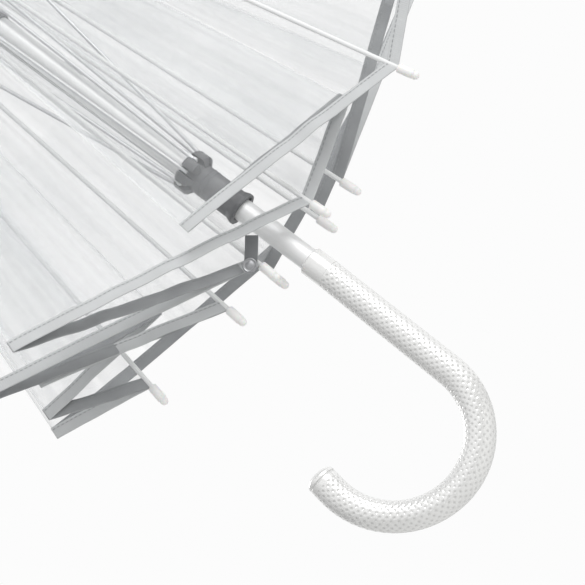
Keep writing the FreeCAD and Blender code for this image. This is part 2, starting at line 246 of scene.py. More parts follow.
def panel_surface(panel, along, across, film):
    """Points of a panel's film at `along` (0 apex to 1 hem) and `across` (0 first to 1 second edge).

    The flat triangle is apex + along * (first edge turned towards the second edge by across). Over it stands
    a height that is 0 on both long edges: a soft belly away from the neighbouring panel, radial gathers
    that run out from the apex, and small crumples from a few crossed waves."""
    first, second = panel["first"] - panel["apex"], panel["second"] - panel["apex"]
    normal = unit(np.cross(second, first))
    flat = along[..., None] * ((1 - across)[..., None] * first + across[..., None] * second)
    random = np.random.default_rng(panel["seed"])
    width = panel["width"]
    edge = np.clip(4 * across * (1 - across), 0, 1)
    away = 0.0
    for corner in (panel["before"], panel["beyond"]):
        if corner is not None:
            away -= np.sign(normal @ (corner - panel["apex"]))
    height = film.belly * away * np.sqrt(edge) * along * min(1, width / FULL_BELLY_WIDTH)
    gathers = np.zeros_like(across)
    for _ in range(GATHER_WAVES):
        waves, phase = random.uniform(2, 5 + 40 * width), random.uniform(0, 2 * math.pi)
        bend = random.uniform(-0.15, 0.15)
        gathers += random.uniform(0.4, 1) * np.sin(math.pi * waves * (across + bend * along ** 2) + phase)
    height = height + film.gather * gathers * along ** 0.8 * edge
    x, y = along * RIB_LENGTH, (across - 0.5) * along * width
    crumple = np.zeros_like(across)
    for _ in range(CRUMPLE_WAVES):
        length, turn = random.uniform(*CRUMPLE_LENGTHS), random.uniform(-1.1, 1.1) + math.pi / 2
        wave = (x * math.cos(turn) + y * math.sin(turn)) * 2 * math.pi / length + random.uniform(0, 6.3)
        crease = 1 - 2 * np.abs(np.sin(wave / 2 + np.sin(y * 30 + x * 11)))
        crumple += crease * length / CRUMPLE_LENGTHS[1]
    height = height + film.crumple * crumple * np.minimum(1, along * 2) * edge ** 0.7
    return panel["apex"] + flat + height[..., None] * normal


def surface_frame(panel, along, across, film):
    """Point, direction along the hem, direction up from it, and normal on a panel's film."""
    step = 1e-3
    point = panel_surface(panel, along, across, film)
    over = np.where(across < 0.5, step, -step)
    hem = unit((panel_surface(panel, along, across + over, film) - point) * np.sign(over)[..., None])
    up = unit(panel_surface(panel, along - step, across, film) - point)
    normal = unit(np.cross(hem, up))
    return point, hem, np.cross(normal, hem), -normal


# ---------------------------------------------------------------- materials

def clear_film(settings):
    """Cast PVC film, calendered smooth and creased in storage: see-through and faintly grey, in streaks that
    run out from the crown and soft crumpled patches, with a painted white highlight along its folds."""
    material, tree, shader, place = new_material("calendered_clear_pvc", Roughness=0.1, IOR=1.5)
    flat = add_node(tree, "ShaderNodeUVMap", uv_map="UVMap").outputs["UV"]
    # Broad soft streaks, then fine ones: width, length, the part of the noise that shows, and its detail
    streaks = []
    for width, length, low, high, detail in ((26 * MM, 420 * MM, 0.34, 0.66, 1.0),
                                             (9 * MM, 380 * MM, 0.56, 0.74, 0.5)):
        drawn = add_node(tree, "ShaderNodeMapping", {"Vector": flat,
                                                     "Scale": (1 / width, 1 / length, 1 / width)}).outputs[0]
        noise = add_node(tree, "ShaderNodeTexNoise", {"Vector": drawn, "Scale": 1.0,
                                                      "Detail": detail}).outputs["Fac"]
        streaks.append(add_node(tree, "ShaderNodeMapRange", {"Value": noise, "From Min": low,
                                                             "From Max": high}).outputs["Result"])
    broad, fine = streaks
    # Crumpled patches 34 mm apart and flat facets 42 mm apart, all warped by up to 20 mm
    warp = add_node(tree, "ShaderNodeTexNoise", {"Vector": place, "Scale": 22.0,
                                                 "Detail": 1.0}).outputs["Color"]
    bent = add_node(tree, "ShaderNodeVectorMath", {0: warp, 1: (20 * MM,) * 3, 2: place},
                    operation="MULTIPLY_ADD").outputs[0]
    patches = add_node(tree, "ShaderNodeTexVoronoi", {"Vector": bent,
                                                      "Scale": 1 / (34 * MM)}).outputs["Distance"]
    patches = add_node(tree, "ShaderNodeMapRange", {"Value": patches, "From Min": 0.1,
                                                    "From Max": 0.75}).outputs["Result"]
    cells = add_node(tree, "ShaderNodeTexVoronoi", {"Vector": bent, "Scale": 1 / (42 * MM)}).outputs["Color"]
    facets = add_node(tree, "ShaderNodeSeparateColor", {"Color": cells}).outputs["Red"]
    # The surface, and how steeply the eye meets it
    rise = add_node(tree, "ShaderNodeMath", {0: patches, 1: 0.6}, operation="MULTIPLY").outputs[0]
    height = add_node(tree, "ShaderNodeMath", {0: fine, 1: 0.15, 2: rise},
                      operation="MULTIPLY_ADD").outputs[0]
    normal = add_node(tree, "ShaderNodeBump", {"Height": height, "Distance": 2.5 * MM,
                                               "Strength": 0.5}).outputs["Normal"]
    facing = add_node(tree, "ShaderNodeLayerWeight", {"Blend": 0.35, "Normal": normal}).outputs["Facing"]
    steep = add_node(tree, "ShaderNodeMath", {0: facing, 1: 2.4}, operation="POWER").outputs[0]
    # How much light the film stops: clouds and streaks, and more towards the crown, at a slant and at folds
    cloud = add_node(tree, "ShaderNodeMix", {0: 0.28, 2: broad, 3: facets}, data_type="FLOAT").outputs[0]
    haze = add_node(tree, "ShaderNodeMapRange", {"Value": cloud, "To Min": 0.1 * settings.haze,
                                                 "To Max": 2.0 * settings.haze}).outputs["Result"]
    haze = add_node(tree, "ShaderNodeMath", {0: fine, 1: 0.1, 2: haze}, operation="MULTIPLY_ADD").outputs[0]
    from_crown = add_node(tree, "ShaderNodeSeparateXYZ", {"Vector": flat}).outputs["Y"]
    layers = add_node(tree, "ShaderNodeMapRange", {"Value": from_crown, "From Max": RIB_LENGTH,
                                                   "To Min": 1.9, "To Max": 0.9}).outputs["Result"]
    haze = add_node(tree, "ShaderNodeMath", {0: haze, 1: layers}, operation="MULTIPLY").outputs[0]
    haze = add_node(tree, "ShaderNodeMath", {0: steep, 1: 0.45, 2: haze}, operation="MULTIPLY_ADD").outputs[0]
    # painted highlight along each fold: the film stops more light there and its colour turns near white
    fold = add_node(tree, "ShaderNodeAttribute", attribute_name="painted_fold_highlight").outputs["Fac"]
    haze = add_node(tree, "ShaderNodeMath", {0: fold, 1: 0.45, 2: haze}, operation="MULTIPLY_ADD",
                    use_clamp=True).outputs[0]
    face_tone, edge_tone = linear(hex_of(settings.face_tone)), linear(hex_of(settings.edge_tone))
    tone = add_node(tree, "ShaderNodeMix", {0: steep, 6: face_tone, 7: edge_tone},
                    data_type="RGBA").outputs[2]
    # painted highlight: near white along the folds
    tone = add_node(tree, "ShaderNodeMix", {0: fold, 6: tone, 7: linear("FBFCFC")},
                    data_type="RGBA").outputs[2]
    feed(tree, shader, {"Base Color": tone, "Alpha": haze, "Normal": normal})
    return material


def woven_tape():
    """Woven polyester binding tape: a dull cloth whose close weave shows as fine cross ribs, pale grey, with
    painted shade on its face inside the canopy."""
    material, tree, shader, _ = new_material("woven_polyester_tape", Roughness=0.72, Sheen_Weight=0.25,
                                             Sheen_Roughness=0.5)
    place = add_node(tree, "ShaderNodeUVMap", uv_map="UVMap").outputs["UV"]
    # Ribs 1.25 mm apart; the wave has 20 / (2 pi) bands per unit at scale 1
    weft = add_node(tree, "ShaderNodeTexWave", {"Vector": place, "Scale": 2 * math.pi / (20 * 1.25 * MM),
                                                "Distortion": 0.4, "Detail": 1.0, "Detail Scale": 0.2},
                    wave_type="BANDS", bands_direction="X").outputs["Fac"]
    cloud = add_node(tree, "ShaderNodeTexNoise", {"Vector": place, "Scale": 60.0,
                                                  "Detail": 3.0}).outputs["Fac"]
    inner = add_node(tree, "ShaderNodeAttribute", attribute_name="inner").outputs["Fac"]
    pale = add_node(tree, "ShaderNodeMix", {0: cloud, 6: linear("B4B6B7"), 7: linear("D2D4D5")},
                    data_type="RGBA").outputs[2]
    pale = add_node(tree, "ShaderNodeMix", {0: weft, 6: pale, 7: linear("C8CACB")},
                    data_type="RGBA").outputs[2]
    # painted shade: the tape's face inside the canopy gets a darker grey
    dark = add_node(tree, "ShaderNodeMix", {0: cloud, 6: linear("858789"), 7: linear("A6A8AA")},
                    data_type="RGBA").outputs[2]
    tone = add_node(tree, "ShaderNodeMix", {0: inner, 6: pale, 7: dark}, data_type="RGBA").outputs[2]
    feed(tree, shader, {"Base Color": tone, "Normal": add_node(
        tree, "ShaderNodeBump", {"Height": weft, "Distance": 0.12 * MM, "Strength": 0.6}).outputs["Normal"]})
    return material


def grey_webbing():
    """Narrow dark grey polyester webbing: matt, with a fine diagonal twill."""
    material, tree, shader, _ = new_material("twill_polyester_webbing", Roughness=0.8, Sheen_Weight=0.3,
                                             Sheen_Roughness=0.5)
    place = add_node(tree, "ShaderNodeUVMap", uv_map="UVMap").outputs["UV"]
    # Twill lines 0.8 mm apart; the diagonal wave has 14 / (2 pi) bands per unit at scale 1
    twill = add_node(tree, "ShaderNodeTexWave", {"Vector": place, "Scale": 2 * math.pi / (14 * 0.8 * MM),
                                                 "Distortion": 0.3, "Detail": 1.0, "Detail Scale": 0.2},
                     wave_type="BANDS", bands_direction="DIAGONAL").outputs["Fac"]
    tone = add_node(tree, "ShaderNodeMix", {0: twill, 6: linear("66686A"), 7: linear("8E9092")},
                    data_type="RGBA").outputs[2]
    feed(tree, shader, {"Base Color": tone, "Normal": add_node(
        tree, "ShaderNodeBump", {"Height": twill, "Distance": 0.15 * MM, "Strength": 0.7}).outputs["Normal"]})
    return material


def moulded_white():
    """Moulded white nylon for the rib tips, canopy cap and ferrule: satin, with very slight unevenness."""
    material, tree, shader, place = new_material("moulded_white_nylon", Roughness=0.34, IOR=1.52,
                                                 Subsurface_Weight=0.1, Subsurface_Scale=1.5 * MM)
    uneven = add_node(tree, "ShaderNodeTexNoise", {"Vector": place, "Scale": 220.0,
                                                   "Detail": 2.0}).outputs["Fac"]
    tone = add_node(tree, "ShaderNodeMix", {0: uneven, 6: linear("EEEEEC"), 7: linear("F9F9F8")},
                    data_type="RGBA").outputs[2]
    rough = add_node(tree, "ShaderNodeMapRange", {"Value": uneven, "To Min": 0.26, "To Max": 0.42})
    feed(tree, shader, {"Base Color": tone, "Roughness": rough.outputs["Result"]})
    return material


def pearl_abs():
    """Moulded ABS with a pearl lustre: glossy white with faint flow marks and painted shade in its dimples,
    over a very fine grain."""
    material, tree, shader, place = new_material("moulded_pearl_abs", Roughness=0.22, Metallic=0.45,
                                                 Coat_Weight=0.6, Coat_Roughness=0.05)
    flow = add_node(tree, "ShaderNodeTexNoise", {"Vector": place, "Scale": 45.0,
                                                 "Detail": 3.0}).outputs["Fac"]
    painted_dimple_shade = add_node(tree, "ShaderNodeAttribute", attribute_name="painted_dimple_shade").outputs["Fac"]
    tone = add_node(tree, "ShaderNodeMix", {0: flow, 6: linear("E6E6E5"), 7: linear("F3F3F2")},
                    data_type="RGBA").outputs[2]
    # painted shade: the colour turns darker grey towards the bottom of each dimple
    tone = add_node(tree, "ShaderNodeMix", {0: painted_dimple_shade, 6: tone, 7: linear("CFCFCE")},
                    data_type="RGBA").outputs[2]
    grain = add_node(tree, "ShaderNodeTexNoise", {"Vector": place, "Scale": 2500.0}).outputs["Fac"]
    feed(tree, shader, {"Base Color": tone, "Normal": add_node(
        tree, "ShaderNodeBump", {"Height": grain, "Distance": 0.02 * MM, "Strength": 0.4}).outputs["Normal"]})
    return material


def dark_nylon():
    """Moulded charcoal nylon of the runner and crown: matt and grained, scuffed lighter in patches."""
    material, tree, shader, place = new_material("moulded_charcoal_nylon", Roughness=0.48, IOR=1.53)
    scuff = add_node(tree, "ShaderNodeTexNoise", {"Vector": place, "Scale": 160.0,
                                                  "Detail": 5.0}).outputs["Fac"]
    tone = add_node(tree, "ShaderNodeMix", {0: scuff, 6: linear("47484A"), 7: linear("78797B")},
                    data_type="RGBA").outputs[2]
    grain = add_node(tree, "ShaderNodeTexNoise", {"Vector": place, "Scale": 1800.0}).outputs["Fac"]
    feed(tree, shader, {"Base Color": tone, "Normal": add_node(
        tree, "ShaderNodeBump", {"Height": grain, "Distance": 0.05 * MM, "Strength": 0.5}).outputs["Normal"]})
    return material


def satin_aluminium():
    """Drawn and anodised aluminium tube: bright and satin, with fine draw lines along its length."""
    material, tree, shader, place = new_material("drawn_anodised_aluminium", Metallic=0.6, Roughness=0.5)
    drawn = add_node(tree, "ShaderNodeMapping", {"Vector": place, "Scale": (1.0, 1.0, 0.01)}).outputs[0]
    lines = add_node(tree, "ShaderNodeTexNoise", {"Vector": drawn, "Scale": 2200.0,
                                                  "Detail": 2.0}).outputs["Fac"]
    tone = add_node(tree, "ShaderNodeMix", {0: lines, 6: linear("EAEBEB"), 7: linear("F6F6F6")},
                    data_type="RGBA").outputs[2]
    rough = add_node(tree, "ShaderNodeMapRange", {"Value": lines, "To Min": 0.46, "To Max": 0.6})
    feed(tree, shader, {"Base Color": tone, "Roughness": rough.outputs["Result"], "Normal": add_node(
        tree, "ShaderNodeBump", {"Height": lines, "Distance": 0.01 * MM, "Strength": 0.3}).outputs["Normal"]})
    return material


def rib_fibreglass():
    """Pultruded fibreglass rod with a white gel surface: nearly matt, with faint fibre streaks."""
    material, tree, shader, place = new_material("pultruded_white_fibreglass", Roughness=0.55, IOR=1.53)
    drawn = add_node(tree, "ShaderNodeMapping", {"Vector": place, "Scale": (1.0, 1.0, 0.03)}).outputs[0]
    fibre = add_node(tree, "ShaderNodeTexNoise", {"Vector": drawn, "Scale": 1500.0,
                                                  "Detail": 2.0}).outputs["Fac"]
    tone = add_node(tree, "ShaderNodeMix", {0: fibre, 6: linear("E8E9E9"), 7: linear("F4F5F5")},
                    data_type="RGBA").outputs[2]
    feed(tree, shader, {"Base Color": tone, "Normal": add_node(
        tree, "ShaderNodeBump", {"Height": fibre, "Distance": 0.02 * MM, "Strength": 0.4}).outputs["Normal"]})
    return material


def mottled(name, scale, detail, dark, light, **constants):
    """A material whose colour wanders between two tones in a noise of this scale."""
    material, tree, shader, place = new_material(name, **constants)
    mottle = add_node(tree, "ShaderNodeTexNoise", {"Vector": place, "Scale": scale,
                                                   "Detail": detail}).outputs["Fac"]
    tone = add_node(tree, "ShaderNodeMix", {0: mottle, 6: linear(dark), 7: linear(light)}, data_type="RGBA")
    feed(tree, shader, {"Base Color": tone.outputs[2]})
    return material


def sewing_thread():
    """Twisted polyester thread: mid grey, slightly shiny."""
    return mottled("twisted_polyester_thread", 900.0, 2.0, "8F9193", "A9ABAD", Roughness=0.5,
                   Sheen_Weight=0.2)


def drawn_steel():
    """Drawn steel wire, nickel plated: grey and softly bright."""
    return mottled("nickel_plated_drawn_steel", 400.0, 3.0, "C2C3C5", "DCDDDE", Metallic=1.0, Roughness=0.45)


def pressed_zinc():
    """Pressed zinc snap button: dull grey metal."""
    return mottled("pressed_zinc_snap", 500.0, 3.0, "8A8B8D", "B5B6B8", Metallic=1.0, Roughness=0.42)


def pale_backdrop():
    """Plain matt board for the floor."""
    return mottled("matt_white_board", 3.0, 2.0, "F2F2F1", "F5F5F4", Roughness=0.9)


MATERIALS = {}


def finish_of(make):
    """The one material that `make` gives, made the first time it is asked for."""
    if make not in MATERIALS:
        MATERIALS[make] = make()
    return MATERIALS[make]


# ---------------------------------------------------------------- settings

class CanopySettings(bpy.types.PropertyGroup):
    """Sizes and tones of the film canopy and its hem."""
    belly: FloatProperty(name="Belly", description="Height of each panel's soft belly at the hem",
                         default=3 * MM, unit="LENGTH")
    gather: FloatProperty(name="Gathers", description="Height of the radial gathers at the hem",
                          default=0.3 * MM, unit="LENGTH")
    crumple: FloatProperty(name="Crumples", description="Height of the storage creases",
                           default=0.25 * MM, unit="LENGTH")
    haze: FloatProperty(name="Haze", description="Share of light the film stops where it faces the eye",
                        default=0.075, min=0, max=1)
    face_tone: FloatVectorProperty(name="Face tone", description="Film colour face on, sRGB",
                                   default=(0.80, 0.81, 0.82), subtype="COLOR_GAMMA")
    edge_tone: FloatVectorProperty(name="Edge tone", description="Film colour at grazing angles, sRGB",
                                   default=(0.62, 0.63, 0.64), subtype="COLOR_GAMMA")
    tape_width: FloatProperty(name="Tape width", description="Width of the hem binding",
                              default=7.5 * MM, unit="LENGTH")
    tape_thickness: FloatProperty(name="Tape thickness", description="Thickness of the folded binding",
                                  default=0.9 * MM, unit="LENGTH")
    stitch_pitch: FloatProperty(name="Stitch pitch", description="Distance from one stitch to the next",
                                default=3.0 * MM, unit="LENGTH")
    # width of the painted highlight along each fold
    fold_highlight_width: FloatProperty(name="Fold width", description="How far a fold's white edge fades",
                              default=1.5 * MM, unit="LENGTH")
    rows: IntProperty(name="Rows", description="Film points from apex to hem", default=120, min=8)
    columns: IntProperty(name="Columns", description="Film points from rib to fold", default=64, min=8)


class HandleSettings(bpy.types.PropertyGroup):
    """Sizes of the crook handle."""
    dimple_pitch: FloatProperty(name="Dimple pitch", description="Distance between dimples in a row",
                                default=4.2 * MM, unit="LENGTH")
    dimple_row: FloatProperty(name="Dimple rows", description="Distance from one row of dimples to the next",
                              default=2.3 * MM, unit="LENGTH")
    dimple_depth: FloatProperty(name="Dimple depth", description="Depth of one dimple", default=0.36 * MM,
                                unit="LENGTH")
    dimple_radius: FloatProperty(name="Dimple radius", description="Radius of one dimple", default=0.72 * MM,
                                 unit="LENGTH")


class StrapSettings(bpy.types.PropertyGroup):
    """Sizes of the tie strap and its snap button."""
    width: FloatProperty(name="Width", description="Width of the webbing", default=8 * MM, unit="LENGTH")
    thickness: FloatProperty(name="Thickness", description="Thickness of the webbing", default=1 * MM,
                             unit="LENGTH")
    length: FloatProperty(name="Length", description="From the snap button to the hem", default=18 * MM,
                          unit="LENGTH")
    bow: FloatProperty(name="Bow", description="How far the strap stands off at its middle", default=0.8 * MM,
                       unit="LENGTH")
    lean: FloatProperty(name="Lean", description="Angle between the strap and the shaft",
                        default=math.radians(54), subtype="ANGLE")
    button: FloatProperty(name="Button", description="Diameter of the snap button", default=9 * MM,
                          unit="LENGTH")


class StageSettings(bpy.types.PropertyGroup):
    """Floor, lights and camera."""
    floor_drop: FloatProperty(name="Floor", description="Height of the floor", default=-1.0, unit="LENGTH")
    lens: FloatProperty(name="Lens", description="Focal length in millimetres", default=135.2)
    distance: FloatProperty(name="Distance", description="Camera to shaft", default=1.3, unit="LENGTH")
    elevation: FloatProperty(name="Elevation", description="Camera height above the horizon",
                             default=math.radians(-15), subtype="ANGLE")
    lean: FloatProperty(name="Lean", description="Slope of the shaft across the picture",
                        default=math.radians(37.16), subtype="ANGLE")


# ---------------------------------------------------------------- pieces

class UMBRELLA_OT_canopy(bpy.types.Operator):
    """Builds the film panels, their hem tape and its stitches"""
    bl_idname = "umbrella.canopy"
    bl_label = "Canopy"

    def execute(self, context):
        settings = context.scene.umbrella_canopy
        film, tape, thread = clear_film(settings), woven_tape(), sewing_thread()
        for panel in gore_panels():
            sheet = film_sheet(panel, settings, film)
            binding = hem_tape(panel, settings, tape)
            stitches = hem_stitches(panel, settings, thread)
            for piece in (sheet, binding, stitches):
                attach(piece, panel["body"])
            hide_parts(f"film_{panel['name']}")
        return {"FINISHED"}


FILM_TOP = 0.022     # share of the rib's length hidden in the crown


def film_sheet(panel, settings, material):
    """One panel of film: panel_surface on a grid that is closer towards the two long edges."""
    along = np.linspace(FILM_TOP, 1, settings.rows)[:, None]
    across = (1 - np.cos(np.linspace(0, math.pi, settings.columns)))[None, :] / 2
    along, across = np.broadcast_arrays(along, across)
    points = panel_surface(panel, along, across, settings)
    faces = grid_faces(settings.rows, settings.columns)
    uv = np.stack([across * panel["width"] + panel["seed"], along * RIB_LENGTH], -1).reshape(-1, 2)
    piece = mesh_piece(f"sheet_{panel['name']}", points.reshape(-1, 3), faces, material, uv=uv)
    # closeness to each fold, for the painted highlight along it
    fold = np.zeros(along.shape)
    for corner, share in ((panel["before"], across), (panel["beyond"], 1 - across)):
        if corner is not None:
            fold = np.maximum(fold, np.exp(-share * along * panel["width"] / settings.fold_highlight_width))
    add_share(piece, "painted_fold_highlight", fold)
    return piece


def hem_tape(panel, settings, material):
    """Binding folded round the hem: a flat loop, tape width deep and tape thickness high, is carried across
    the panel along its hem, standing on the film's own normal."""
    count = 60
    across = (1 - np.cos(np.linspace(0, math.pi, count)))[:, None] / 2
    deep, half = settings.tape_width, settings.tape_thickness / 2
    over, edge = 0.6 * MM, 0.3 * MM      # past the film's edge, and the tape's own rounded edge
    upper = [(-over * 0.7, half * 0.8), (over * 0.5, half), (deep * 0.5, half * 0.85),
             (deep - edge, half), (deep, half * 0.5)]
    loop = np.array([(-over, 0), *upper, *[(x, -y) for x, y in reversed(upper)]])
    along = np.clip(1 - loop[:, 0] / RIB_LENGTH, 0, 1.01)[None, :]
    along, across = np.broadcast_arrays(along, across)
    point, _, _, normal = surface_frame(panel, along, across, settings)
    points = point + normal * loop[None, :, 1, None]
    uv = np.stack([across * panel["width"], (1 - along) * RIB_LENGTH], -1).reshape(-1, 2)
    sides = len(loop)
    faces = grid_faces(count, sides, close_columns=True)
    piece = mesh_piece(f"tape_{panel['name']}", points.reshape(-1, 3), faces, material, uv=uv)
    # 1 on the tape's face inside the canopy, which gets painted shade
    add_share(piece, "inner", np.broadcast_to(loop[None, :, 1] <= 0, across.shape))
    return piece


STITCH_INSET = 1.6 * MM      # from the tape's inner edge
STITCH_END_GAP = 4 * MM      # both ends together


def hem_stitches(panel, settings, material):
    """Stitches on both faces of the tape: one small long blob, repeated along the hem."""
    count = max(2, int((panel["width"] - STITCH_END_GAP) / settings.stitch_pitch))
    across = (np.arange(count) + 0.5) / count
    along = np.full(count, 1 - (settings.tape_width - STITCH_INSET) / RIB_LENGTH)
    point, hem, up, normal = surface_frame(panel, along, across, settings)
    rings, sides = 5, 6
    tilt = np.linspace(0.15, math.pi - 0.15, rings)[:, None]
    turn = np.linspace(0, 2 * math.pi, sides, endpoint=False)[None, :]
    length, thick = 0.4 * settings.stitch_pitch, 0.34 * MM
    shape = np.stack([length * np.cos(tilt) + 0 * turn, thick * np.sin(tilt) * np.cos(turn),
                      thick * np.sin(tilt) * np.sin(turn)], -1).reshape(-1, 3)
    blobs, faces = [], []
    quads = grid_faces(rings, sides, close_columns=True)
    for side in (1, -1):
        centre = point + normal * side * settings.tape_thickness / 2
        blob = (centre[:, None] + shape[None, :, :1] * hem[:, None] + shape[None, :, 1:2] * up[:, None]
                + shape[None, :, 2:] * normal[:, None])
        start = len(blobs) * count * len(shape)
        faces.append((quads[None] + (np.arange(count) * len(shape))[:, None, None] + start).reshape(-1, 4))
        blobs.append(blob.reshape(-1, 3))
    return mesh_piece(f"stitches_{panel['name']}", np.concatenate(blobs), np.concatenate(faces)[:, ::-1],
                      material)


GRIP_TOP = -14 * MM
GRIP_TOP_RADIUS = 9 * MM
GRIP_RADIUS = 9.5 * MM
GRIP_LEAN = math.radians(1.5)     # between the grip and the shaft
CROOK_HEIGHT = -107.4 * MM        # before it leans
CROOK_BENDS = [(46.6 * MM, math.radians(96)), (51.2 * MM, math.radians(90))]     # radius and sweep
TAIL_LENGTH = 8 * MM
GRIP_LENGTH = GRIP_TOP - CROOK_HEIGHT + sum(radius * sweep for radius, sweep in CROOK_BENDS) + TAIL_LENGTH
CAP_LENGTH = 5.8 * MM             # end cap with its groove


def crook_frame(distance):
    """Centre, tangent, outward direction and tube radius of the grip at each distance from its top: a
    straight, two bends and a straight tail."""
    straight = GRIP_TOP - CROOK_HEIGHT
    centre = np.stack([0 * distance, 0 * distance, GRIP_TOP - np.minimum(distance, straight)], -1)
    left, turned = distance - straight, np.zeros_like(distance)
    for radius, sweep in CROOK_BENDS:
        angle = np.clip(left / radius, 0, sweep)
        centre = centre + radius * (crook_outward(turned + angle) - crook_outward(turned))
        turned, left = turned + angle, left - radius * sweep
    outward = crook_outward(turned)
    tangent = outward @ np.array([[0, 0, -1], [0, 1, 0], [1, 0, 0]])
    centre = centre + np.maximum(left, 0)[:, None] * tangent
    radius = GRIP_TOP_RADIUS + (GRIP_RADIUS - GRIP_TOP_RADIUS) * np.minimum(distance / straight, 1)
    top = np.array([0, 0, GRIP_TOP])
    return leaned(centre - top) + top, leaned(tangent), leaned(outward), radius


def crook_outward(angle):
    """Direction from a bend's centre to its tube at this angle below the horizontal."""
    return np.stack([np.cos(angle), 0 * angle, -np.sin(angle)], -1)


def leaned(vectors):
    """Turns vectors about the Y axis by GRIP_LEAN."""
    cosine, sine = math.cos(GRIP_LEAN), math.sin(GRIP_LEAN)
    return vectors @ np.array([[cosine, 0, -sine], [0, 1, 0], [sine, 0, cosine]])


class UMBRELLA_OT_handle(bpy.types.Operator):
    """Builds the dimpled crook grip and finishes its collar and end cap"""
    bl_idname = "umbrella.handle"
    bl_label = "Handle"

    def execute(self, context):
        settings = context.scene.umbrella_handle
        pearl = finish_of(pearl_abs)
        grip = dimpled_grip(settings, pearl)
        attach(grip, "stick")
        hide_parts("handle_grip")
        cap = end_cap(pearl)
        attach(cap, "stick")
        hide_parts("handle_end_cap")
        paint("handle_collar", pearl)
        return {"FINISHED"}


def dimpled_grip(settings, material):
    """Crook tube: a circle carried down the straight and round the crook, whose radius loses a round dimple
    at every crossing of a staggered net that is wrapped round it."""
    lanes = 2 * round(math.pi * GRIP_RADIUS / settings.dimple_row)
    fineness = 7             # points from one row of dimples to the next
    rows, sides = int(GRIP_LENGTH / (settings.dimple_row / fineness)), lanes * fineness
    start = -0.3 * MM        # reaches into the collar, which does not lean
    plain_top, plain_end = 1 * MM, 3 * MM
    lip_depth, lip_reach = 0.3 * MM, 0.25 * MM
    distance = np.linspace(start, GRIP_LENGTH, rows)
    centre, _, outward, radius = crook_frame(distance)
    turn = np.linspace(0, 2 * math.pi, sides, endpoint=False)
    lane = turn[None, :] / (2 * math.pi) * lanes
    row = distance[:, None] / settings.dimple_pitch
    whole = np.round(lane)
    stagger = 0.5 * np.mod(whole, 2)
    near = (row - stagger) - np.round(row - stagger)
    reach = np.hypot(near * settings.dimple_pitch, (lane - whole) * settings.dimple_row)
    from_plain = np.minimum(distance - plain_top, GRIP_LENGTH - plain_end - distance)
    smooth_ends = np.clip(from_plain / MM, 0, 1)[:, None]
    dip = settings.dimple_depth * np.exp(-(reach / settings.dimple_radius) ** 2) * smooth_ends
    lip = lip_depth * np.exp(-np.minimum(distance - start, GRIP_LENGTH - distance) / lip_reach)[:, None]
    ring = np.cos(turn)[None, :, None] * outward[:, None] + np.sin(turn)[None, :, None] * np.array([0, 1, 0])
    points = centre[:, None] + (radius[:, None] - dip - lip)[..., None] * ring
    faces = grid_faces(rows, sides, close_columns=True)
    piece = mesh_piece("grip_skin", points.reshape(-1, 3), faces, material)
    # share of each dimple's depth, read by the pearl material for the painted shade in the dimples
    add_share(piece, "painted_dimple_shade", dip / settings.dimple_depth)
    return piece


def end_cap(material):
    """Cap turned about the grip's end: a shallow soft groove, then a dome that is part of a superellipse."""
    centre, tangent, _, radius = crook_frame(np.array([GRIP_LENGTH]))
    squareness, groove_depth = 2.4, 0.6 * MM      # 2 would be an ellipse
    groove = np.linspace(-0.3 * MM, 0.9 * MM, 9)
    depth = groove_depth * np.cos(np.linspace(-math.pi / 2, math.pi / 2, 9)) ** 0.6
    rise = 1 - np.linspace(1, 0, 24) ** 1.6
    dome = radius[0] * (1 - rise[1:] ** squareness) ** (1 / squareness)
    profile = [(groove[0], 0)] + list(zip(groove, radius[0] - depth))
    profile += list(zip(groove[-1] + rise[1:] * (CAP_LENGTH - groove[-1]), dome))
    return revolved("cap_skin", centre[0], tangent[0], profile, material, sides=72)


class UMBRELLA_OT_fittings(bpy.types.Operator):
    """Builds the rib tips and gives the shaft, ribs, stretchers, runner, crown and ferrule their finishes"""
    bl_idname = "umbrella.fittings"
    bl_label = "Fittings"

    def execute(self, context):
        finishes = {
            satin_aluminium: ["shaft_tube"],
            dark_nylon: ["runner_sleeve", "crown_notch", "runner_stop", "runner_flange"],
            moulded_white: ["ferrule", "canopy_cap"],
            drawn_steel: ["bottom_catch", "top_catch", "ferrule_cap"],
        }
        for make, nodes in finishes.items():
            for node in nodes:
                paint(node, finish_of(make))
        for number in range(1, RIB_COUNT + 1):
            paint(f"rib_{number}", finish_of(rib_fibreglass))
            paint(f"stretcher_{number}", finish_of(drawn_steel))
            tip = rib_tip(number - 1, finish_of(moulded_white))
            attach(tip, f"rib_{number}")
            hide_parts(f"rib_tip_{number}")
        return {"FINISHED"}


def rib_tip(index, material):
    """Rib tip turned about the rib's line: a barrel, a shallow step and a smaller round nose."""
    end, hinge = rib_end(index), hinge_point(index)
    along = unit(end - hinge)
    barrel, nose = 2.9 * MM, 2.55 * MM
    bend = np.linspace(math.radians(5), math.pi / 2, 9)
    profile = [(0, 0), (0, 2.1 * MM), (0.35 * MM, 2.7 * MM), (1.0 * MM, barrel), (9.6 * MM, barrel),
               (10.1 * MM, 2.75 * MM), (10.2 * MM, nose)]
    profile += [(TIP_LENGTH - nose + nose * math.sin(b), nose * math.cos(b)) for b in bend]
    return revolved(f"tip_{index + 1}", end, along, profile, material)


class UMBRELLA_OT_strap(bpy.types.Operator):
    """Builds the tie strap and its snap button"""
    bl_idname = "umbrella.strap"
    bl_label = "Tie strap"

    def execute(self, context):
        settings = context.scene.umbrella_strap
        x, y = np.array(RIB_HEM[STRAP_RIB]) * MM
        centre = np.array([x, y, 0]) + STRAP_OFFSET
        strap = tie_strap(centre, settings, finish_of(grey_webbing))
        button = snap_button(centre, settings, finish_of(pressed_zinc))
        for piece, node in ((strap, "tie_strap"), (button, "snap_button")):
            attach(piece, STRAP_BODY)
            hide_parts(node)
        return {"FINISHED"}


STRAP_RIB = 2
STRAP_BODY = "rib_3"
STRAP_OFFSET = np.array([-4, -10, 19]) * MM      # snap button from the rib's hem end


